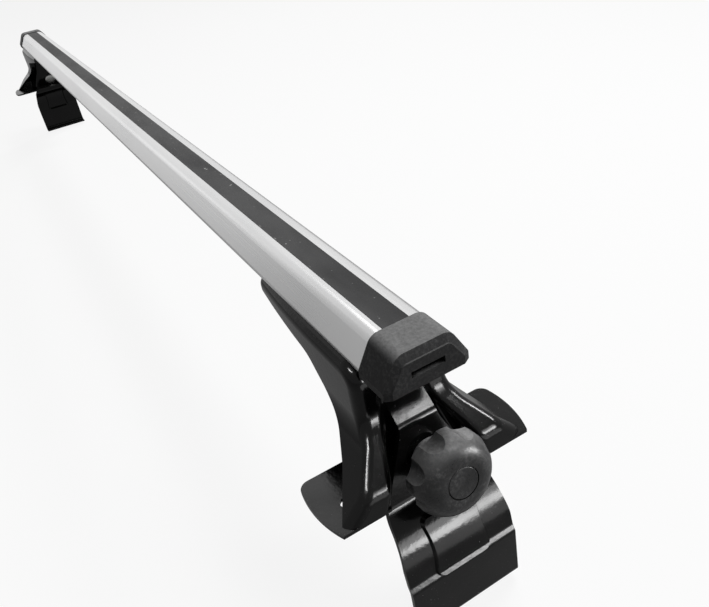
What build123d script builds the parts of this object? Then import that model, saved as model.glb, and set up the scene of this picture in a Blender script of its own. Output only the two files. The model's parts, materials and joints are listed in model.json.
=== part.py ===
from build123d import *
import math
import os

# All sizes are in millimetres and degrees. X runs along the bar, Y across it, Z up.
# The underside of the bar is the drawing level; everything is lifted onto the hook lips at the end.
# "Drop" is a depth below the underside of the bar.

# Bar: hollow extrusion with a slot along the top and one along the underside
BAR_LENGTH = 1296.0
BAR_BASE_WIDTH = 52.0
BAR_TOP_WIDTH = 31.4
BAR_HEIGHT = 20.6
BAR_BAND_HEIGHT = 3.0
BAR_WALL = 2.2
BAR_CHAMBER_START = 10.4
BAR_EDGE_RADIUS = 0.8
BAR_BAND_RADIUS = 1.5
BAR_SHOULDER_RADIUS = 8.5
TOP_SLOT_MOUTH = 10.4
TOP_SLOT_WIDTH = 16.8
TOP_SLOT_FLOOR = 11.6
TOP_SLOT_CEILING = 16.6
TRACK_MOUTH = 8.8
TRACK_WIDTH = 15.6
TRACK_LIP = 2.6
TRACK_CEILING = 8.4

# Rubber strip in the top slot
STRIP_WIDTH = 17.1
STRIP_SEAT_DEPTH = 1.6
STRIP_PROUD = 0.2
STRIP_STEM_DEPTH = 3.6
STRIP_BARB_WIDTH = 13.2
STRIP_BARB_HEIGHT = 1.8
STRIP_END_GAP = 1.0
STRIP_CLEARANCE = 0.1

# End cap
CAP_LENGTH = 27.0
CAP_RIM = 0.9
CAP_DROP = 2.6
CAP_BEVEL_LENGTH = 2.6
CAP_TOP_BEVEL = 5.0
CAP_SIDE_BEVEL = 3.6
CAP_EDGE = 0.5
CAP_SLOT_WIDTH = 21.0
CAP_SLOT_HEIGHT = 4.0
CAP_SLOT_DEPTH = 9.0
CAP_SLOT_LEVEL = 7.8
CAP_PLUG_LENGTH = 22.0
CAP_PLUG_CLEARANCE = 0.15

# Foot bracket: pressed sheet with a tongue under the bar, two flanged legs and a base plate
SHEET = 2.5
FOOT_SETBACK = 3.0
TONGUE_LENGTH = 139.0
TONGUE_TIP_WIDTH = 52.0
TONGUE_TIP_RADIUS = 10.0
FOOT_WIDTH = 62.0
FOOT_TAPER_LENGTH = 94.0
FOOT_BEND_RADIUS = 14.0
FOOT_RIDGE_RADIUS = 7.0
BASE_DROP = 80.0
BASE_REACH = 28.0
FLARE_TOP_DROP = 37.0
FLARE_FOOT_DROP = 63.0
FLARE_TOP_RADIUS = 20.0
FLARE_FOOT_RADIUS = 12.0
LEG_SPREAD = 130.0
LEG_BEND_DROP = 43.5
LEG_BEND_RADIUS = 24.0
RIM_TIP_DEPTH = 8.7
RIM_KNEE_INSET = 59.0
RIM_KNEE_DROP = 20.0
RIM_KNEE_RADIUS = 24.0
RIM_LEG_INSET = 39.0
RIM_LEG_DROP = 37.5
RIM_LEG_RADIUS = 40.0
RIM_SHIN_INSET = 1.0
RIM_SHIN_DROP = 59.5
RIM_SHIN_RADIUS = 40.0

# Recess pressed into the front of the bracket, with a flat leaning floor for the stud
RECESS_LEAN = 10.0
RECESS_LEVEL = 40.0
RECESS_DRAFT = 12.0
RECESS_TOP_RISE = 21.0
RECESS_TOP_WIDTH = 31.0
RECESS_KNEE_DEPTH = 6.0
RECESS_KNEE_WIDTH = 36.0
RECESS_FOOT_DEPTH = 51.0
RECESS_FOOT_WIDTH = 63.0
RECESS_TOP_RADIUS = 9.0
RECESS_KNEE_RADIUS = 30.0
RECESS_FLOOR_RADIUS = 5.0
RECESS_RIM_RADIUS = 5.0
RECESS_KEEP_WIDTH = 80.0

# Base plate of the bracket
PLATE_DEPTH = 48.5
PLATE_WIDTH = 142.0
PLATE_BULGE_INSET = 30.0
PLATE_CORNER_RADIUS = 7.0
PLATE_HOLE_DIAMETER = 7.5
PLATE_HOLE_SPACING = 104.0
PLATE_HOLE_INSET = 20.0

# T-head bolts that hold the tongue to the bar
TRACK_BOLT_DIAMETER = 8.0
TRACK_BOLT_LENGTH = 15.0
TRACK_BOLT_SPACING = 50.0
TRACK_BOLT_TIP_INSET = 36.0
TRACK_HEAD_WIDTH = 15.0
TRACK_HEAD_LENGTH = 13.0
TRACK_HEAD_HEIGHT = 4.6
TRACK_HOLE_CLEARANCE = 0.3
TRACK_WASHER_DIAMETER = 17.0
TRACK_WASHER_HEIGHT = 1.6
TRACK_NUT_WIDTH = 13.0
TRACK_NUT_HEIGHT = 6.5

# Stud through the recess floor
STUD_DIAMETER = 8.0
STUD_DROP = 67.5
STUD_NECK_CLEARANCE = 0.15
STUD_HEAD_DIAMETER = 18.0
STUD_HEAD_HEIGHT = 4.4
STUD_HEAD_RADIUS = 2.5
STUD_KNOB_ENGAGEMENT = 16.0

# Clamp hook: stamped sheet, leaning with the recess floor
HOOK_SHEET = 3.0
HOOK_STANDOFF = 8.3
HOOK_ARM_GAP = 0.4
HOOK_ARM_DROP = 31.0
HOOK_SHOULDER_DROP = 41.5
HOOK_SHOULDER_RADIUS = 7.0
HOOK_STEP_DROP = 90.0
HOOK_STEP_RADIUS = 8.0
HOOK_BOW_DROP = 107.2
HOOK_BOW_REACH = 18.8
HOOK_BOW_RADIUS = 50.0
HOOK_VALLEY_DROP = 130.0
HOOK_VALLEY_REACH = 4.4
HOOK_VALLEY_RADIUS = 4.5
HOOK_CREASE_DROP = 134.0
HOOK_CREASE_REACH = 6.7
HOOK_CREASE_RADIUS = 4.5
HOOK_DROP = 174.0
HOOK_FOOT_REACH = 1.5
HOOK_LIP_LENGTH = 15.0
HOOK_LIP_RADIUS = 5.0
HOOK_NECK_WIDTH = 25.4
HOOK_NECK_DROP = 44.0
HOOK_SHOULDER_WIDTH = 70.0
HOOK_WIDE_DROP = 95.0
HOOK_WIDTH = 77.0
HOOK_WIDE_END_DROP = 120.0
HOOK_SIDE_RADIUS = 24.0
HOOK_SLOT_WIDTH = 9.4
HOOK_SLOT_HEIGHT = 12.0
HOOK_PANEL_WIDTH = 40.0
HOOK_PANEL_TOP_DROP = 97.0
HOOK_PANEL_RAISE = 2.4
HOOK_PANEL_SLOPE = 30.0
HOOK_PANEL_CORNER_RADIUS = 6.0
HOOK_PANEL_WALL = 2.2

# Thrust washer: flat towards the knob, domed towards the hook so that the hook can rock
WASHER_DIAMETER = 20.0
WASHER_HEIGHT = 2.6
WASHER_DOME_RADIUS = 32.0
WASHER_GAP = 0.3
WASHER_BORE_CLEARANCE = 0.3

# Knob, its threaded insert and its cover disc
KNOB_DIAMETER = 51.0
KNOB_LENGTH = 33.4
KNOB_HUB_DIAMETER = 24.0
KNOB_HUB_LENGTH = 11.0
KNOB_RIM_START = 15.5
KNOB_RIM_END = 22.0
KNOB_CROWN_DIAMETER = 23.0
KNOB_DOME_BULGE = 3.6
KNOB_SCALLOPS = 8
KNOB_SCALLOP_RADIUS = 11.0
KNOB_SCALLOP_DEPTH = 2.7
KNOB_TURN = 15.0
KNOB_BORE_CLEARANCE = 0.3
KNOB_BORE_DEPTH = 25.0
INSERT_WIDTH = 13.0
INSERT_HEIGHT = 8.0
INSERT_BORE_CLEARANCE = 0.05
COVER_DIAMETER = 19.4
COVER_HEIGHT = 2.0
COVER_GAP = 0.4
COVER_EDGE_RADIUS = 0.6

# Positions that follow from the sizes above
BAR_END = BAR_LENGTH / 2
WEB_X = BAR_END - FOOT_SETBACK
TIP_X = WEB_X - TONGUE_LENGTH
FACET_X = WEB_X + BASE_REACH
TRACK_BOLT_XS = [TIP_X + TRACK_BOLT_TIP_INSET, TIP_X + TRACK_BOLT_TIP_INSET + TRACK_BOLT_SPACING]
CAP_FACE_X = BAR_END + CAP_LENGTH
LEAN_TAN = math.tan(math.radians(RECESS_LEAN))
LEAN_COS = math.cos(math.radians(RECESS_LEAN))
LEAN_SIN = math.sin(math.radians(RECESS_LEAN))
HOOK_FACE = HOOK_STANDOFF + HOOK_SHEET
WASHER_SEAT = HOOK_FACE + WASHER_GAP
KNOB_SEAT = WASHER_SEAT + WASHER_HEIGHT
STUD_LENGTH = KNOB_SEAT + STUD_KNOB_ENGAGEMENT
FAR = 400.0
BEYOND = 40.0
PIERCE = 10.0
TOLERANCE = 0.001


def floor_x(drop):
    """X of the leaning recess floor at a given drop."""
    return WEB_X + (drop - RECESS_LEVEL) * LEAN_TAN


FLOOR_PLANE = Plane(
    origin=(WEB_X, 0, -RECESS_LEVEL),
    x_dir=(0, 1, 0),
    z_dir=(LEAN_COS, 0, LEAN_SIN),
)
STUD_PLANE = Plane(
    origin=(floor_x(STUD_DROP), 0, -STUD_DROP),
    x_dir=(0, 1, 0),
    z_dir=(LEAN_COS, 0, LEAN_SIN),
)


def rounded(points, radii):
    """Face inside a closed polygon whose corners carry the given radii."""
    return make_face(FilletPolyline(points, radius=radii, close=True))


def mirrored(points):
    """Closed polygon from its right half, listed from the top down."""
    return points + [(-across, up) for across, up in reversed(points)]


def slab(face, low, high):
    """Face drawn in XY and extruded between two heights."""
    return extrude(Pos(0, 0, low) * face, high - low)


def along_x(face, start, end):
    """Face drawn in Y and Z, extruded between two X positions."""
    return extrude(Plane.YZ.offset(start) * face, end - start)


def along_y(face, width):
    """Face drawn in X and Z, extruded evenly to both sides of the middle plane."""
    return extrude(Plane.XZ * face, width / 2, both=True)


def rectangle(left, bottom, right, top):
    """Rectangle between two corners."""
    return Pos((left + right) / 2, (bottom + top) / 2) * Rectangle(right - left, top - bottom)


def bar_outline(grow, drop):
    """Outline of the bar, grown sideways and upwards, and downwards by drop."""
    base = BAR_BASE_WIDTH / 2 + grow
    top = BAR_TOP_WIDTH / 2 + grow
    right = [(top, BAR_HEIGHT + grow), (base, BAR_BAND_HEIGHT), (base, -drop)]
    radii = [BAR_SHOULDER_RADIUS, BAR_BAND_RADIUS, BAR_EDGE_RADIUS]
    return rounded(mirrored(right), radii + radii[::-1])


def chamber(inset):
    """Hollow beside the slots on the +Y side, drawn smaller by inset."""
    side_run = (BAR_BASE_WIDTH - BAR_TOP_WIDTH) / 2
    side_rise = BAR_HEIGHT - BAR_BAND_HEIGHT
    side_wall = BAR_WALL * math.hypot(side_run, side_rise) / side_rise
    outer = BAR_BASE_WIDTH / 2 - side_wall - inset
    inner = BAR_CHAMBER_START + inset
    floor = BAR_WALL + inset
    ceiling = BAR_HEIGHT - BAR_WALL - inset
    shoulder = outer - side_run * (ceiling - BAR_BAND_HEIGHT) / side_rise
    points = [(inner, floor), (outer, floor), (outer, BAR_BAND_HEIGHT), (shoulder, ceiling), (inner, ceiling)]
    return rounded(points, [0, 0, 0, BAR_SHOULDER_RADIUS - BAR_WALL, 0])


def bar_extrusion():
    """Bar with two side chambers, the top slot and the bolt track."""
    strip_seat = BAR_HEIGHT - STRIP_SEAT_DEPTH
    section = bar_outline(0, 0)
    section -= chamber(0)
    section -= mirror(chamber(0), Plane.YZ)
    section -= rectangle(-STRIP_WIDTH / 2, strip_seat, STRIP_WIDTH / 2, BAR_HEIGHT)
    section -= rectangle(-TOP_SLOT_MOUTH / 2, TOP_SLOT_CEILING, TOP_SLOT_MOUTH / 2, strip_seat)
    section -= rectangle(-TOP_SLOT_WIDTH / 2, TOP_SLOT_FLOOR, TOP_SLOT_WIDTH / 2, TOP_SLOT_CEILING)
    section -= rectangle(-TRACK_MOUTH / 2, 0, TRACK_MOUTH / 2, TRACK_LIP)
    section -= rectangle(-TRACK_WIDTH / 2, TRACK_LIP, TRACK_WIDTH / 2, TRACK_CEILING)
    return along_x(section, -BAR_END, BAR_END)


def top_strip():
    """Strip with a flat cover in the seat, a stem through the mouth and a barb below the lips."""
    seat = BAR_HEIGHT - STRIP_SEAT_DEPTH
    cover = STRIP_WIDTH / 2 - STRIP_CLEARANCE
    stem = TOP_SLOT_MOUTH / 2 - STRIP_CLEARANCE
    barb_top = TOP_SLOT_CEILING - STRIP_CLEARANCE
    section = rectangle(-cover, seat, cover, BAR_HEIGHT + STRIP_PROUD)
    section += rectangle(-stem, TOP_SLOT_CEILING - STRIP_STEM_DEPTH, stem, seat)
    section += rectangle(-STRIP_BARB_WIDTH / 2, barb_top - STRIP_BARB_HEIGHT, STRIP_BARB_WIDTH / 2, barb_top)
    end = BAR_END - STRIP_END_GAP
    return along_x(section, -end, end)


def cap_face(inset):
    """Outline of the cap's front face, drawn smaller by inset."""
    base = BAR_BASE_WIDTH / 2 + CAP_RIM - CAP_SIDE_BEVEL - inset
    top = BAR_TOP_WIDTH / 2 + CAP_RIM - CAP_SIDE_BEVEL / 2 - inset
    height = BAR_HEIGHT + CAP_RIM - CAP_TOP_BEVEL - inset
    right = [(top, height), (base, BAR_BAND_HEIGHT), (base, inset - CAP_DROP)]
    radii = [BAR_SHOULDER_RADIUS / 2, BAR_BAND_RADIUS, BAR_EDGE_RADIUS]
    return rounded(mirrored(right), radii + radii[::-1])


def end_cap():
    """Cap over the +X end: straight rim, bevelled face with a slot, two plugs in the chambers."""
    bevel_x = CAP_FACE_X - CAP_BEVEL_LENGTH
    edge_x = CAP_FACE_X - CAP_EDGE
    outline = bar_outline(CAP_RIM, CAP_DROP)
    cap = along_x(outline, BAR_END, bevel_x)
    sections = [
        Plane.YZ.offset(bevel_x) * outline,
        Plane.YZ.offset(edge_x) * cap_face(0),
        Plane.YZ.offset(CAP_FACE_X) * cap_face(CAP_EDGE),
    ]
    cap += loft(sections, ruled=True)
    slot_face = Pos(0, CAP_SLOT_LEVEL) * Rectangle(CAP_SLOT_WIDTH, CAP_SLOT_HEIGHT)
    cap -= along_x(slot_face, CAP_FACE_X - CAP_SLOT_DEPTH, CAP_FACE_X)
    plug = along_x(chamber(CAP_PLUG_CLEARANCE), BAR_END - CAP_PLUG_LENGTH, BAR_END)
    cap += plug
    cap += mirror(plug, Plane.XZ)
    return cap


def foot_form(inset):
    """Solid form of the bracket, drawn smaller by inset: tongue, bend, flared legs and recess."""
    floor = -BASE_DROP - 2 * inset
    leg_slope = (LEG_SPREAD - FOOT_WIDTH) / 2 / (BASE_DROP - LEG_BEND_DROP)
    leg_end = LEG_SPREAD / 2 + 2 * inset * leg_slope
    side = rounded(
        [
            (TIP_X, floor),
            (TIP_X, 0),
            (WEB_X, 0),
            (WEB_X, -FLARE_TOP_DROP),
            (FACET_X, -FLARE_FOOT_DROP),
            (FACET_X, floor),
        ],
        [0, 0, FOOT_BEND_RADIUS, FLARE_TOP_RADIUS, FLARE_FOOT_RADIUS, 0],
    )
    front = rounded(
        mirrored([(FOOT_WIDTH / 2, 0), (FOOT_WIDTH / 2, -LEG_BEND_DROP), (leg_end, floor)]),
        [0, LEG_BEND_RADIUS, 0, 0, LEG_BEND_RADIUS, 0],
    )
    form = along_y(shrunk(side, inset), FAR) & along_x(shrunk(front, inset), 0, FAR * 2)
    form &= tongue_plan(inset)
    form = fillet(ridge_edges(form, TIP_X + inset), FOOT_RIDGE_RADIUS - inset)
    skin = form.faces()
    form -= recess_tool(inset)
    return fillet(rim_edges(form, skin), RECESS_RIM_RADIUS - inset)


def shrunk(face, inset):
    """Face with its boundary moved inwards."""
    if inset == 0:
        return face
    return offset(face, amount=-inset, kind=Kind.INTERSECTION)


def tongue_plan(inset):
    """Tongue tapering along two arcs to a tip with rounded corners, with full width left for the legs."""
    taper_x = TIP_X + FOOT_TAPER_LENGTH
    tip = TONGUE_TIP_WIDTH / 2
    wide = FOOT_WIDTH / 2
    side = TangentArc((taper_x, wide), (TIP_X, tip), tangent=(-1, 0))
    other = TangentArc((taper_x, -wide), (TIP_X, -tip), tangent=(-1, 0))
    root_x = taper_x + PIERCE
    root = Polyline([(taper_x, -wide), (root_x, -wide), (root_x, wide), (taper_x, wide)])
    tongue = make_face([side, other, Line((TIP_X, tip), (TIP_X, -tip)), root])
    tongue = fillet(tongue.vertices().group_by(Axis.X)[0], TONGUE_TIP_RADIUS)
    legs = rectangle(taper_x + inset, -FAR / 2, FAR * 2, FAR / 2)
    return slab(shrunk(tongue, inset), -FAR, 0) + slab(legs, -FAR, 0)


def ridge_edges(form, tip_x):
    """Edges where the top and the front of the form meet its sides and its tip."""
    crown = []
    sides = []
    for face in form.faces():
        normal = face.normal_at()
        at_tip = abs(face.center().X - tip_x) < TOLERANCE
        if abs(normal.Z + 1) < TOLERANCE:
            continue
        if abs(normal.Y) < TOLERANCE and normal.X > -TOLERANCE and not at_tip:
            crown.append(face)
        else:
            sides.append(face)
    side_edges = [edge for face in sides for edge in face.edges()]
    return [edge for face in crown for edge in face.edges() if edge in side_edges]


def recess_tool(grow):
    """Drafted block standing on the recess floor, its floor edge rounded, drawn larger by grow."""
    draft = math.radians(RECESS_DRAFT)
    widen = grow / math.cos(draft) - grow * math.tan(draft)
    right = [
        (RECESS_TOP_WIDTH / 2 + widen, RECESS_TOP_RISE + widen),
        (RECESS_KNEE_WIDTH / 2 + widen, -RECESS_KNEE_DEPTH),
        (RECESS_FOOT_WIDTH / 2 + widen, -RECESS_FOOT_DEPTH),
        (RECESS_FOOT_WIDTH / 2 + widen, -RECESS_FOOT_DEPTH - BEYOND),
    ]
    radii = [RECESS_TOP_RADIUS + grow, RECESS_KNEE_RADIUS, 0, 0]
    outline = rounded(mirrored(right), radii + radii[::-1])
    plane = FLOOR_PLANE.offset(-grow)
    tool = extrude(plane * outline, BEYOND, taper=-RECESS_DRAFT)
    floor = tool.faces().sort_by(plane_axis(plane))[0]
    return fillet(floor.edges(), RECESS_FLOOR_RADIUS + grow)


def plane_axis(plane):
    """Axis through the origin of a plane, along its normal."""
    return Axis(plane.origin, plane.z_dir)


def rim_edges(form, skin):
    """Edges where the recess breaks through the given faces, apart from the underside."""
    edges = []
    for edge in form.edges():
        middle = Vertex(edge.position_at(0.5))
        level = middle.Z < TOLERANCE - BASE_DROP
        if level or edge in skin.edges():
            continue
        if min(face.distance_to(middle) for face in skin) < TOLERANCE:
            edges.append(edge)
    return edges


def base_plate():
    """Flat plate with bowed ends, carrying a hole near each end."""
    inner_x = FACET_X - PLATE_DEPTH
    bulge_x = FACET_X - PLATE_BULGE_INSET
    corner = (FACET_X, LEG_SPREAD / 2)
    bulge = (bulge_x, PLATE_WIDTH / 2)
    inner = (inner_x, PLATE_WIDTH / 2 - SHEET)
    side = ThreePointArc(corner, bulge, inner)
    other = mirror(side, Plane.XZ)
    inner_line = Line(inner, (inner[0], -inner[1]))
    outer_line = Line((corner[0], -corner[1]), corner)
    outline = make_face([side, inner_line, other, outer_line])
    outline = fillet(outline.vertices().group_by(Axis.X)[0], PLATE_CORNER_RADIUS)
    for y in (-PLATE_HOLE_SPACING / 2, PLATE_HOLE_SPACING / 2):
        outline -= Pos(FACET_X - PLATE_HOLE_INSET, y) * Circle(PLATE_HOLE_DIAMETER / 2)
    return slab(outline, -BASE_DROP, -BASE_DROP + SHEET)


def rim_cut():
    """Everything below the free edge of the side flanges, except the recess in the middle."""
    start = (TIP_X, -RIM_TIP_DEPTH)
    knee = (WEB_X - RIM_KNEE_INSET, -RIM_KNEE_DROP)
    leg = (WEB_X - RIM_LEG_INSET, -RIM_LEG_DROP)
    shin = (WEB_X - RIM_SHIN_INSET, -RIM_SHIN_DROP)
    end = (FACET_X - SHEET, -BASE_DROP)
    radii = [RIM_KNEE_RADIUS, RIM_LEG_RADIUS, RIM_SHIN_RADIUS]
    edge = FilletPolyline([start, knee, leg, shin, end], radius=radii)
    under = (end[0], -BASE_DROP - BEYOND)
    below = Polyline([end, under, (TIP_X - BEYOND, under[1]), (TIP_X - BEYOND, start[1]), start])
    region = along_y(make_face([edge, below]), FAR)
    keep = slab(rectangle(WEB_X - PIERCE, -RECESS_KEEP_WIDTH / 2, FAR * 2, RECESS_KEEP_WIDTH / 2), -FAR, 0)
    return region - keep


def foot_bracket():
    """Hollowed form with trimmed flanges, the base plate and every hole."""
    bracket = foot_form(0) - foot_form(SHEET) - rim_cut()
    bracket += base_plate() - recess_tool(0)
    neck = STUD_DIAMETER + 2 * STUD_NECK_CLEARANCE
    bracket -= STUD_PLANE * Box(neck, neck, PIERCE)
    hole = TRACK_BOLT_DIAMETER / 2 + TRACK_HOLE_CLEARANCE
    for x in TRACK_BOLT_XS:
        bracket -= Pos(x, 0, 0) * Cylinder(hole, PIERCE)
    return bracket


def hexagon(width):
    """Hexagon with the given width across flats."""
    return RegularPolygon(width / 2, 6, major_radius=False)


def track_bolts():
    """T-heads in the bolt track with shanks through the tongue."""
    bolts = []
    for x in TRACK_BOLT_XS:
        head = Pos(x, 0) * Rectangle(TRACK_HEAD_LENGTH, TRACK_HEAD_WIDTH)
        shank = Pos(x, 0) * Circle(TRACK_BOLT_DIAMETER / 2)
        bolt = slab(head, TRACK_LIP, TRACK_LIP + TRACK_HEAD_HEIGHT)
        bolts.append(bolt + slab(shank, -TRACK_BOLT_LENGTH, TRACK_LIP))
    return Compound(bolts)


def track_washers():
    """Flat washers under the tongue."""
    ring = Circle(TRACK_WASHER_DIAMETER / 2) - Circle(TRACK_BOLT_DIAMETER / 2 + TRACK_HOLE_CLEARANCE)
    washers = [slab(Pos(x, 0) * ring, -SHEET - TRACK_WASHER_HEIGHT, -SHEET) for x in TRACK_BOLT_XS]
    return Compound(washers)


def track_nuts():
    """Hexagon nuts under the washers."""
    top = -SHEET - TRACK_WASHER_HEIGHT
    ring = hexagon(TRACK_NUT_WIDTH) - Circle(TRACK_BOLT_DIAMETER / 2)
    nuts = [slab(Pos(x, 0) * ring, top - TRACK_NUT_HEIGHT, top) for x in TRACK_BOLT_XS]
    return Compound(nuts)


def clamp_stud():
    """Round-head stud with a square neck in the recess floor."""
    head = Pos(0, 0, -SHEET - STUD_HEAD_HEIGHT / 2) * Cylinder(STUD_HEAD_DIAMETER / 2, STUD_HEAD_HEIGHT)
    head = fillet(head.faces().sort_by(Axis.Z)[0].edges(), STUD_HEAD_RADIUS)
    stud = head + slab(Rectangle(STUD_DIAMETER, STUD_DIAMETER), -SHEET, 0)
    stud += slab(Circle(STUD_DIAMETER / 2), 0, STUD_LENGTH)
    return STUD_PLANE * stud


def hook_face(along, drop):
    """Point on the hook's side profile, at a distance in front of the recess floor."""
    return (floor_x(drop) + along / LEAN_COS, -drop)


def hook_corners():
    """Corners of the hook's outer face in X and Z, from the shoulder of the arm down to the foot."""
    step = hook_face(HOOK_FACE, HOOK_STEP_DROP)
    bow = (step[0] + HOOK_BOW_REACH, -HOOK_BOW_DROP)
    valley = (bow[0] + HOOK_VALLEY_REACH, -HOOK_VALLEY_DROP)
    crease = (bow[0] + HOOK_CREASE_REACH, -HOOK_CREASE_DROP)
    foot = (crease[0] + HOOK_FOOT_REACH, -HOOK_DROP)
    return [hook_face(HOOK_FACE, HOOK_SHOULDER_DROP), step, bow, valley, crease, foot]


def hook_region(grow):
    """Side view of the space behind the hook's outer face, with that face moved outwards by grow."""
    corners = hook_corners()
    shoulder = corners[0]
    arm = hook_face(HOOK_ARM_GAP, HOOK_ARM_DROP)
    back_x = arm[0] - HOOK_DROP
    arm_slope = (arm[1] - shoulder[1]) / (arm[0] - shoulder[0])
    arm_back = (back_x, shoulder[1] + arm_slope * (back_x - shoulder[0]))
    upper_bends = [HOOK_SHOULDER_RADIUS, HOOK_STEP_RADIUS, HOOK_BOW_RADIUS]
    lower_bends = [HOOK_VALLEY_RADIUS, HOOK_CREASE_RADIUS, HOOK_LIP_RADIUS]
    radii = [0] + upper_bends + lower_bends + [0]
    return shrunk(rounded([arm_back] + corners + [(back_x, -HOOK_DROP)], radii), -grow)


def hook_layer(outer, inner):
    """Solid between two offsets from the hook's outer face, positive outwards, across a wide strip."""
    lip_x = hook_corners()[-1][0] - HOOK_LIP_LENGTH
    layer = along_y(hook_region(outer) - hook_region(inner), FAR)
    layer -= FLOOR_PLANE * Pos(0, 0, HOOK_ARM_GAP - FAR / 2) * Box(FAR, FAR, FAR)
    layer -= slab(rectangle(0, -FAR, lip_x, FAR), -FAR, -HOOK_WIDE_END_DROP)
    return layer


def panel_plug(inset):
    """Tapered block that bounds the raised panel, drawn smaller by inset."""
    _, step, bow, _, crease, _ = hook_corners()
    top_share = (HOOK_PANEL_TOP_DROP - HOOK_STEP_DROP) / (HOOK_BOW_DROP - HOOK_STEP_DROP)
    top_x = step[0] + top_share * (bow[0] - step[0])
    run = crease[0] - top_x
    fall = HOOK_CREASE_DROP - HOOK_PANEL_TOP_DROP
    plane = Plane(
        origin=((top_x + crease[0]) / 2, 0, -(HOOK_PANEL_TOP_DROP + HOOK_CREASE_DROP) / 2),
        x_dir=(0, 1, 0),
        z_dir=(fall, 0, run),
    )
    depth = 2 * HOOK_SHEET
    spread = depth * math.tan(math.radians(HOOK_PANEL_SLOPE)) - inset
    outline = RectangleRounded(
        HOOK_PANEL_WIDTH + 2 * spread,
        math.hypot(run, fall) + 2 * spread,
        HOOK_PANEL_CORNER_RADIUS + spread,
    )
    return extrude(plane.offset(-depth) * outline, 2 * depth, taper=HOOK_PANEL_SLOPE)


def clamp_hook():
    """Stamped hook: arm to the bracket, leaning plate, bowed skirt with a raised panel, lip."""
    right = [
        (HOOK_NECK_WIDTH / 2, 0),
        (HOOK_NECK_WIDTH / 2, -HOOK_NECK_DROP),
        (HOOK_SHOULDER_WIDTH / 2, -HOOK_WIDE_DROP),
        (HOOK_WIDTH / 2, -HOOK_WIDE_END_DROP),
        (HOOK_WIDTH / 2, -FAR / 2),
    ]
    radii = [0, HOOK_SIDE_RADIUS, HOOK_SIDE_RADIUS, HOOK_SIDE_RADIUS, 0]
    outline = rounded(mirrored(right), radii + radii[::-1])
    hook = hook_layer(0, -HOOK_SHEET) & along_x(outline, 0, FAR * 2)
    hook += hook_layer(HOOK_PANEL_RAISE, -HOOK_SHEET) & panel_plug(0)
    hook -= hook_layer(HOOK_PANEL_RAISE - HOOK_SHEET, -HOOK_SHEET * 2) & panel_plug(HOOK_PANEL_WALL)
    slot = SlotOverall(HOOK_SLOT_HEIGHT, HOOK_SLOT_WIDTH, rotation=90)
    hook -= STUD_PLANE * slab(slot, 0, HOOK_FACE * 2)
    return hook


def thrust_washer():
    """Washer on the stud, domed towards the hook."""
    radius = WASHER_DIAMETER / 2
    washer = Pos(0, 0, WASHER_HEIGHT / 2) * Cylinder(radius, WASHER_HEIGHT)
    washer &= Pos(0, 0, WASHER_DOME_RADIUS) * Sphere(WASHER_DOME_RADIUS)
    washer -= Cylinder(STUD_DIAMETER / 2 + WASHER_BORE_CLEARANCE, PIERCE)
    return STUD_PLANE * Pos(0, 0, WASHER_SEAT) * washer


def knob():
    """Domed grip with scallops, a hub with a hexagon pocket, a blind bore and a seat for the cover."""
    rim = KNOB_DIAMETER / 2
    crown = KNOB_CROWN_DIAMETER / 2
    hub = KNOB_HUB_DIAMETER / 2
    middle = ((rim + crown) / 2, (KNOB_RIM_END + KNOB_LENGTH) / 2)
    slope = math.hypot(rim - crown, KNOB_LENGTH - KNOB_RIM_END)
    bulge = (
        middle[0] + KNOB_DOME_BULGE * (KNOB_LENGTH - KNOB_RIM_END) / slope,
        middle[1] + KNOB_DOME_BULGE * (rim - crown) / slope,
    )
    lower = Polyline(
        [(0, KNOB_LENGTH), (0, 0), (hub, 0), (hub, KNOB_HUB_LENGTH), (rim, KNOB_RIM_START), (rim, KNOB_RIM_END)]
    )
    dome = ThreePointArc((rim, KNOB_RIM_END), bulge, (crown, KNOB_LENGTH))
    front = Line((crown, KNOB_LENGTH), (0, KNOB_LENGTH))
    body = revolve(Plane.XZ * make_face([lower, dome, front]), Axis.Z)
    for index in range(KNOB_SCALLOPS):
        cutter = Pos(rim + KNOB_SCALLOP_RADIUS - KNOB_SCALLOP_DEPTH, 0, 0)
        cutter *= Cylinder(KNOB_SCALLOP_RADIUS, FAR)
        body -= Rot(0, 0, KNOB_TURN + index * 360 / KNOB_SCALLOPS) * cutter
    body -= slab(hexagon(INSERT_WIDTH), 0, INSERT_HEIGHT)
    body -= slab(Circle(STUD_DIAMETER / 2 + KNOB_BORE_CLEARANCE), 0, KNOB_BORE_DEPTH)
    body -= slab(Circle(COVER_DIAMETER / 2 + COVER_GAP), KNOB_LENGTH - COVER_HEIGHT, KNOB_LENGTH)
    return STUD_PLANE * Pos(0, 0, KNOB_SEAT) * body


def knob_insert():
    """Hexagonal threaded insert in the hub."""
    ring = hexagon(INSERT_WIDTH) - Circle(STUD_DIAMETER / 2 + INSERT_BORE_CLEARANCE)
    return STUD_PLANE * slab(ring, KNOB_SEAT, KNOB_SEAT + INSERT_HEIGHT)


def knob_cover():
    """Round disc in the front of the knob."""
    front = KNOB_SEAT + KNOB_LENGTH
    disc = slab(Circle(COVER_DIAMETER / 2), front - COVER_HEIGHT, front)
    disc = fillet(disc.faces().sort_by(Axis.Z)[-1].edges(), COVER_EDGE_RADIUS)
    return STUD_PLANE * disc


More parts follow.
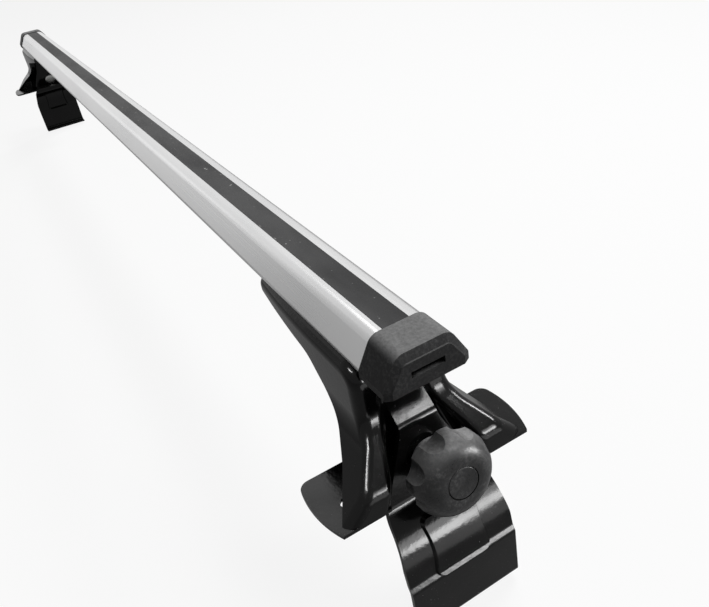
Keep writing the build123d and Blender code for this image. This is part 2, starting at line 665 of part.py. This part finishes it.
# Write every piece in the shared frame, lifted so that the hook lips stand on the floor
os.makedirs("parts", exist_ok=True)
LIFT = Pos(0, 0, HOOK_DROP)
export_step(LIFT * bar_extrusion(), "parts/bar_extrusion.step")
export_step(LIFT * top_strip(), "parts/top_strip.step")
ENDS = {
    "end_cap": end_cap(),
    "foot_bracket": foot_bracket(),
    "track_bolts": track_bolts(),
    "track_washers": track_washers(),
    "track_nuts": track_nuts(),
    "clamp_stud": clamp_stud(),
    "clamp_hook": clamp_hook(),
    "thrust_washer": thrust_washer(),
    "knob": knob(),
    "knob_insert": knob_insert(),
    "knob_cover": knob_cover(),
}
for name, piece in ENDS.items():
    export_step(LIFT * piece, f"parts/{name}_right.step")
    export_step(LIFT * mirror(piece, Plane.YZ), f"parts/{name}_left.step")
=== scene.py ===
import json
import math

import bpy
from mathutils import Matrix, Vector

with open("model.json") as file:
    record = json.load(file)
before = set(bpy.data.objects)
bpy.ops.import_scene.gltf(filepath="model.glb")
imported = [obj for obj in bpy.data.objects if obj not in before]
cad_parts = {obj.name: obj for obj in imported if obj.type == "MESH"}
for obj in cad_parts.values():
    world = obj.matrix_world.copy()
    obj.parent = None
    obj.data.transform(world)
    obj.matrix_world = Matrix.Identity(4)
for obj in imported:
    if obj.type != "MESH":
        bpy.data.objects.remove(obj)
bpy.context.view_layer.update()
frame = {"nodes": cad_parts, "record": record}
nodes = frame["nodes"]
subparts = frame["record"]["subparts"]

# Sockets of the Mix node that are in use when it blends colours
MIX_SHARE, MIX_FIRST, MIX_SECOND, MIX_RESULT = 0, 6, 7, 2
OPEN_AIR_SAMPLES = 8


class Finish:
    """A Principled material whose detail comes from object-space noise, in metres."""

    def __init__(self, name, colour, metallic=0.0, shine=0.5):
        self.material = bpy.data.materials.new(name)
        self.material.use_nodes = True
        self.tree = self.material.node_tree
        self.shader = self.tree.nodes["Principled BSDF"]
        self.shader.inputs["Base Color"].default_value = (*colour, 1.0)
        self.shader.inputs["Metallic"].default_value = metallic
        self.shader.inputs["Specular IOR Level"].default_value = shine
        self.coordinates = self.tree.nodes.new("ShaderNodeTexCoord")
        self.place = self.coordinates.outputs["Object"]

    def link(self, source, target):
        self.tree.links.new(source, target)

    def noise(self, scale, stretch=(1.0, 1.0, 1.0), detail=3.0, roughness=0.5):
        """Noise value from 0 to 1, with the scale multiplied by a factor per axis."""
        mapping = self.tree.nodes.new("ShaderNodeMapping")
        mapping.inputs["Scale"].default_value = stretch
        self.link(self.place, mapping.inputs["Vector"])
        noise = self.tree.nodes.new("ShaderNodeTexNoise")
        noise.inputs["Scale"].default_value = scale
        noise.inputs["Detail"].default_value = detail
        noise.inputs["Roughness"].default_value = roughness
        self.link(mapping.outputs["Vector"], noise.inputs["Vector"])
        return noise.outputs["Fac"]

    def spread(self, value, low, high, start=0.35, end=0.65):
        """Value mapped from start..end to low..high and held there outside."""
        node = self.tree.nodes.new("ShaderNodeMapRange")
        node.inputs["From Min"].default_value = start
        node.inputs["From Max"].default_value = end
        node.inputs["To Min"].default_value = low
        node.inputs["To Max"].default_value = high
        self.link(value, node.inputs["Value"])
        return node.outputs["Result"]

    def upward(self):
        """Height of the object's own normal, 1 on faces that look straight up."""
        node = self.tree.nodes.new("ShaderNodeSeparateXYZ")
        self.link(self.coordinates.outputs["Normal"], node.inputs["Vector"])
        return node.outputs["Z"]

    def open_air(self, reach):
        """How open the surface is within a short reach: 1 on free faces, less in slots."""
        node = self.tree.nodes.new("ShaderNodeAmbientOcclusion")
        node.inputs["Distance"].default_value = reach
        node.samples = OPEN_AIR_SAMPLES
        return node.outputs["AO"]

    def math(self, operation, first, second):
        """Arithmetic on two sockets."""
        node = self.tree.nodes.new("ShaderNodeMath")
        node.operation = operation
        self.link(first, node.inputs[0])
        self.link(second, node.inputs[1])
        return node.outputs["Value"]

    def blend(self, share, first, second):
        """Colour between two colours, each a socket or an RGB triple."""
        node = self.tree.nodes.new("ShaderNodeMix")
        node.data_type = "RGBA"
        self.link(share, node.inputs[MIX_SHARE])
        for index, colour in ((MIX_FIRST, first), (MIX_SECOND, second)):
            if isinstance(colour, tuple):
                node.inputs[index].default_value = (*colour, 1.0)
            else:
                self.link(colour, node.inputs[index])
        return node.outputs[MIX_RESULT]

    def colour(self, socket):
        self.link(socket, self.shader.inputs["Base Color"])

    def roughness(self, socket):
        self.link(socket, self.shader.inputs["Roughness"])

    def bump(self, *layers):
        """Bump from (height, distance in metres) layers, stacked."""
        normal = None
        for height, distance in layers:
            node = self.tree.nodes.new("ShaderNodeBump")
            node.inputs["Strength"].default_value = 1.0
            node.inputs["Distance"].default_value = distance
            self.link(height, node.inputs["Height"])
            if normal is not None:
                self.link(normal, node.inputs["Normal"])
            normal = node.outputs["Normal"]
        self.link(normal, self.shader.inputs["Normal"])


def aluminium():
    """Satin extrusion with fine drawing lines along the bar."""
    line_depth = 0.0000015
    finish = Finish("satin_aluminium", (0.78, 0.78, 0.78), metallic=1.0)
    lines = finish.noise(scale=40.0, stretch=(0.04, 40.0, 40.0), detail=4.0)
    clouds = finish.noise(scale=9.0, stretch=(0.5, 2.0, 2.0))
    share = finish.spread(clouds, low=0.0, high=1.0)
    finish.colour(finish.blend(share, (0.74, 0.74, 0.745), (0.82, 0.82, 0.82)))
    drawn = finish.spread(lines, low=0.255, high=0.275)
    duller = finish.spread(clouds, low=0.0, high=0.04)
    finish.roughness(finish.math("ADD", drawn, duller))
    finish.bump((lines, line_depth))
    return finish.material


def rubber():
    """Matt strip with fine grain, a few pale dust specks and short scuffs."""
    grain_depth = 0.00008
    finish = Finish("strip_rubber", (0.035, 0.035, 0.035), shine=0.12)
    grain = finish.noise(scale=2600.0, detail=2.0)
    tone = finish.noise(scale=22.0, stretch=(0.6, 2.0, 2.0))
    specks = finish.noise(scale=310.0, detail=1.0)
    dust = finish.spread(specks, low=0.0, high=1.0, start=0.755, end=0.8)
    streaks = finish.noise(scale=60.0, stretch=(0.7, 6.0, 1.0), detail=2.0)
    scuff = finish.spread(streaks, low=0.0, high=0.7, start=0.74, end=0.8)
    share = finish.spread(tone, low=0.0, high=1.0)
    base = finish.blend(share, (0.028, 0.028, 0.0285), (0.045, 0.045, 0.0455))
    marks = finish.math("MAXIMUM", dust, scuff)
    finish.colour(finish.blend(marks, base, (0.22, 0.22, 0.215)))
    finish.roughness(finish.spread(grain, low=0.5, high=0.68))
    finish.bump((grain, grain_depth))
    return finish.material


def moulded(name, dark, light, chalk, roughness, shine):
    """Moulded plastic with a fine grain, a chalky bloom, pale specks on upward faces that are
    partly dust and partly a painted top light, and painted shade in slots and seams.
    """
    grain_depth, speckle_depth = 0.00007, 0.00006
    roughness_swing = 0.05
    # Reach and near-black colour of the painted shade in slots and seams
    shade_reach = 0.005
    painted_shade_colour = (0.006, 0.006, 0.006)
    finish = Finish(name, dark, shine=shine)
    grain = finish.noise(scale=1300.0, detail=3.0, roughness=0.6)
    speckle = finish.noise(scale=520.0, detail=4.0, roughness=0.65)
    tone = finish.noise(scale=60.0, detail=4.0)
    clouds = finish.spread(tone, low=0.0, high=1.0)
    blotches = finish.spread(speckle, low=0.0, high=0.8, start=0.45, end=0.75)
    bloom = finish.math("MULTIPLY", blotches, clouds)
    # Upward faces get pale specks: partly dust, partly a painted top light that makes tops
    # brighter
    level = finish.spread(finish.upward(), low=0.0, high=0.75, start=0.45, end=0.95)
    dust_and_top_light = finish.math("MULTIPLY", level, finish.spread(speckle, low=0.5, high=1.0))
    base = finish.blend(clouds, dark, light)
    bloom_dust_and_top_light = finish.blend(finish.math("MAXIMUM", bloom, dust_and_top_light), base, chalk)
    # Painted shade: slots, seams and other closed-in places darken towards near-black by
    # occlusion
    unshaded_share = finish.spread(finish.open_air(shade_reach), low=0.0, high=1.0, start=0.45, end=0.9)
    finish.colour(finish.blend(unshaded_share, painted_shade_colour, bloom_dust_and_top_light))
    texture = finish.spread(grain, roughness - roughness_swing, roughness + roughness_swing)
    duller = finish.spread(tone, low=0.0, high=0.1)
    finish.roughness(finish.math("ADD", texture, duller))
    finish.bump((grain, grain_depth), (speckle, speckle_depth))
    return finish.material


def black_coat():
    """Gloss black coating with a slight orange peel, a few dust specks and duller patches."""
    peel_depth = 0.00006
    finish = Finish("black_coat", (0.003, 0.003, 0.003), shine=0.25)
    peel = finish.noise(scale=330.0, detail=2.0)
    patches = finish.noise(scale=26.0, detail=4.0)
    specks = finish.noise(scale=820.0, detail=1.0)
    dust = finish.spread(specks, low=0.0, high=0.5, start=0.76, end=0.8)
    share = finish.spread(patches, low=0.0, high=1.0)
    base = finish.blend(share, (0.002, 0.002, 0.002), (0.005, 0.005, 0.005))
    finish.colour(finish.blend(dust, base, (0.16, 0.16, 0.16)))
    finish.roughness(finish.spread(patches, low=0.12, high=0.2))
    finish.bump((peel, peel_depth))
    return finish.material


def bare_metal(name, colour, smooth, rough):
    """Plated or machined metal with fine brushing and cloudy tone."""
    line_depth = 0.00003
    shade = 0.82
    finish = Finish(name, colour, metallic=1.0)
    lines = finish.noise(scale=600.0, stretch=(1.0, 1.0, 6.0), detail=3.0)
    clouds = finish.noise(scale=120.0)
    darker = tuple(channel * shade for channel in colour)
    finish.colour(finish.blend(finish.spread(clouds, low=0.0, high=1.0), darker, colour))
    finish.roughness(finish.spread(lines, smooth, rough))
    finish.bump((lines, line_depth))
    return finish.material


FINISHES = {
    "aluminium": aluminium(),
    "strip_rubber": rubber(),
    "cap_plastic": moulded(
        "cap_plastic",
        dark=(0.036, 0.036, 0.0365),
        light=(0.052, 0.052, 0.053),
        chalk=(0.145, 0.145, 0.145),
        roughness=0.5,
        shine=0.12,
    ),
    "black_steel": black_coat(),
    "plated_steel": bare_metal("plated_steel", (0.66, 0.66, 0.64), smooth=0.24, rough=0.4),
    "knob_plastic": moulded(
        "knob_plastic",
        dark=(0.024, 0.024, 0.0245),
        light=(0.042, 0.042, 0.043),
        chalk=(0.2, 0.2, 0.2),
        roughness=0.3,
        shine=0.4,
    ),
    "insert_brass": bare_metal("insert_brass", (0.72, 0.55, 0.26), smooth=0.22, rough=0.36),
}
for piece in subparts:
    part = nodes[piece["node"]]
    part.data.materials.clear()
    part.data.materials.append(FINISHES[piece["material_slot"]])


# Levels of the background: to the camera, in reflections, and as a source of light
BACKDROP_SEEN = 0.885
FLOOR_MIRRORED = 0.3
FLOOR_LIGHT = 0.0
ROOM_MIRRORED = 0.5
ROOM_LIGHT = 0.1


def ray_strength(tree, light, seen, mirrored):
    """Emission strength by kind of ray: the camera's, mirrored or refracted ones, the rest."""
    rays = tree.nodes.new("ShaderNodeLightPath")
    strength = None
    for kind, level in (
        ("Is Camera Ray", seen),
        ("Is Glossy Ray", mirrored),
        ("Is Transmission Ray", mirrored),
    ):
        step = tree.nodes.new("ShaderNodeMath")
        step.operation = "MULTIPLY_ADD"
        tree.links.new(rays.outputs[kind], step.inputs[0])
        step.inputs[1].default_value = level - light
        step.inputs[2].default_value = light
        if strength is not None:
            tree.links.new(strength, step.inputs[2])
        strength = step.outputs["Value"]
    return strength


# Pale floor that keeps a soft shadow. It lies just under the lowest reach of the hooks' lips,
# which swing below z = 0 as the knobs are tightened.
FLOOR_SIZE = 30.0
FLOOR_LEVEL = -0.005
FLOOR_SHADE = (0.05, 0.05, 0.05, 1.0)

bpy.ops.mesh.primitive_plane_add(size=FLOOR_SIZE, location=(0.0, 0.0, FLOOR_LEVEL))
floor = bpy.context.object
floor.name = "floor"
paper = bpy.data.materials.new("paper")
paper.use_nodes = True
tree = paper.node_tree
tree.nodes.clear()
glow = tree.nodes.new("ShaderNodeEmission")
strength = ray_strength(tree, FLOOR_LIGHT, BACKDROP_SEEN, FLOOR_MIRRORED)
tree.links.new(strength, glow.inputs["Strength"])
shade = tree.nodes.new("ShaderNodeBsdfDiffuse")
shade.inputs["Color"].default_value = FLOOR_SHADE
both = tree.nodes.new("ShaderNodeAddShader")
tree.links.new(glow.outputs["Emission"], both.inputs[0])
tree.links.new(shade.outputs["BSDF"], both.inputs[1])
out = tree.nodes.new("ShaderNodeOutputMaterial")
tree.links.new(both.outputs["Shader"], out.inputs["Surface"])
floor.data.materials.append(paper)

# World: the floor's level to the camera, pale in reflections, a dim room to everything else
world = bpy.data.worlds.new("studio")
bpy.context.scene.world = world
world.use_nodes = True
tree = world.node_tree
room = tree.nodes["Background"]
room.inputs["Color"].default_value = (1.0, 1.0, 1.0, 1.0)
strength = ray_strength(tree, ROOM_LIGHT, BACKDROP_SEEN, ROOM_MIRRORED)
tree.links.new(strength, room.inputs["Strength"])


# Lamps, placed in metres for the right end
ENDS = (("right", 1.0), ("left", -1.0))
FOOT = (0.66, 0.0, 0.12)
LARGEST_OVAL = 1.0
KNOB_LAMP_PLACE = (1.3, 1.35, 1.4)
CARD_PLACE = (1.12, 0.14, 0.0)
CARD_AIM = (1.12, 0.14, 1.0)
# Lamps for reflections in one material: name, place, size, radiance, material slot
GLOSS_LAMPS = (
    ("front_sheet", (2.55, 0.75, 0.42), (0.95, 0.84), 6.0, "black_steel"),
    ("front_core", (2.5, 0.74, 0.24), (0.7, 0.42), 16.0, "black_steel"),
    ("left_ridge", (1.03, -1.05, 1.65), (0.9, 0.14), 52.0, "black_steel"),
    ("right_ridge", (0.85, 1.75, 1.15), (1.2, 0.16), 52.0, "black_steel"),
    ("knob_gleam", (1.86, 1.5, 0.3), (0.35, 0.35), 80.0, "knob_plastic"),
)


def softbox(name, place, target, size, radiance):
    """Area light aimed at a point: a rectangle of this radiance, or an oval 4/pi as bright."""
    light = bpy.data.lights.new(name, "AREA")
    light.shape = "ELLIPSE" if max(size) < LARGEST_OVAL else "RECTANGLE"
    light.size, light.size_y = size
    light.energy = radiance * math.pi * size[0] * size[1]
    lamp = bpy.data.objects.new(name, light)
    lamp.location = place
    aim = Vector(target) - Vector(place)
    lamp.rotation_euler = aim.to_track_quat("-Z", "Y").to_euler()
    bpy.context.scene.collection.objects.link(lamp)
    return lamp


def flagged(lamp, slot, side):
    """Lamp shown in reflections alone, and only in one end's pieces of one material."""
    lamp.visible_diffuse = False
    lit = bpy.data.collections.new(lamp.name)
    for piece in subparts:
        if piece["material_slot"] == slot and piece["node"].endswith(side):
            lit.objects.link(nodes[piece["node"]])
    lamp.light_linking.receiver_collection = lit


def at_end(point, way):
    """The right end's point, mirrored to the left end where way is -1."""
    return (point[0] * way, point[1], point[2])


softbox("front_lamp", (1.7, 0.72, 1.6), FOOT, (0.25, 0.25), 30.0)
# The key and the knob lamps stay out of reflections, where they would clip the bar to white
matt_lamps = [softbox("key", (0.2, 0.9, 1.85), FOOT, (0.7, 0.7), 30.0)]
for side, way in ENDS:
    foot = at_end(FOOT, way)
    knob_lamp_place = at_end(KNOB_LAMP_PLACE, way)
    matt_lamps.append(softbox(f"knob_lamp_{side}", knob_lamp_place, foot, (0.35, 0.35), 46.0))
    for name, place, size, radiance, slot in GLOSS_LAMPS:
        lamp = softbox(f"{name}_{side}", at_end(place, way), foot, size, radiance)
        flagged(lamp, slot, side)
    # A dim card at floor level that faces up, for the hook's panel and skirts
    card_place, card_aim = at_end(CARD_PLACE, way), at_end(CARD_AIM, way)
    card = softbox(f"front_card_{side}", card_place, card_aim, (0.62, 0.5), 1.3)
    flagged(card, "black_steel", side)
for lamp in matt_lamps:
    lamp.visible_glossy = False
# Dim sheets that are only seen in reflections
for sheet in (
    softbox("ceiling", (-0.75, 0.4, 1.75), FOOT, (0.5, 0.5), 1.6),
    softbox("back_wall", (-2.9, 1.0, 1.7), (0.2, 0.0, 0.2), (6.0, 3.4), 0.4),
    softbox("left_wall", (-2.95, -1.5, 0.8), (-2.05, 0.0, 0.5), (1.4, 1.7), 0.35),
):
    sheet.visible_diffuse = False

# Camera fitted to the photograph: its place, and its right, up and back directions
camera = bpy.data.objects.new("camera", bpy.data.cameras.new("camera"))
bpy.context.scene.collection.objects.link(camera)
bpy.context.scene.camera = camera
camera.data.sensor_width = 36.0
camera.data.lens = 35.348
camera.data.clip_start = 0.01
camera_place = Vector((0.911157, -0.142892, 0.406959))
right = Vector((0.500522, 0.852433, -0.151115))
up = Vector((-0.413531, 0.388766, 0.823319))
back = Vector((0.760572, -0.349598, 0.547093))
camera_turn = Matrix((right, up, back)).transposed().to_4x4()
camera.matrix_world = Matrix.Translation(camera_place) @ camera_turn
bpy.context.scene.view_settings.view_transform = "Standard"
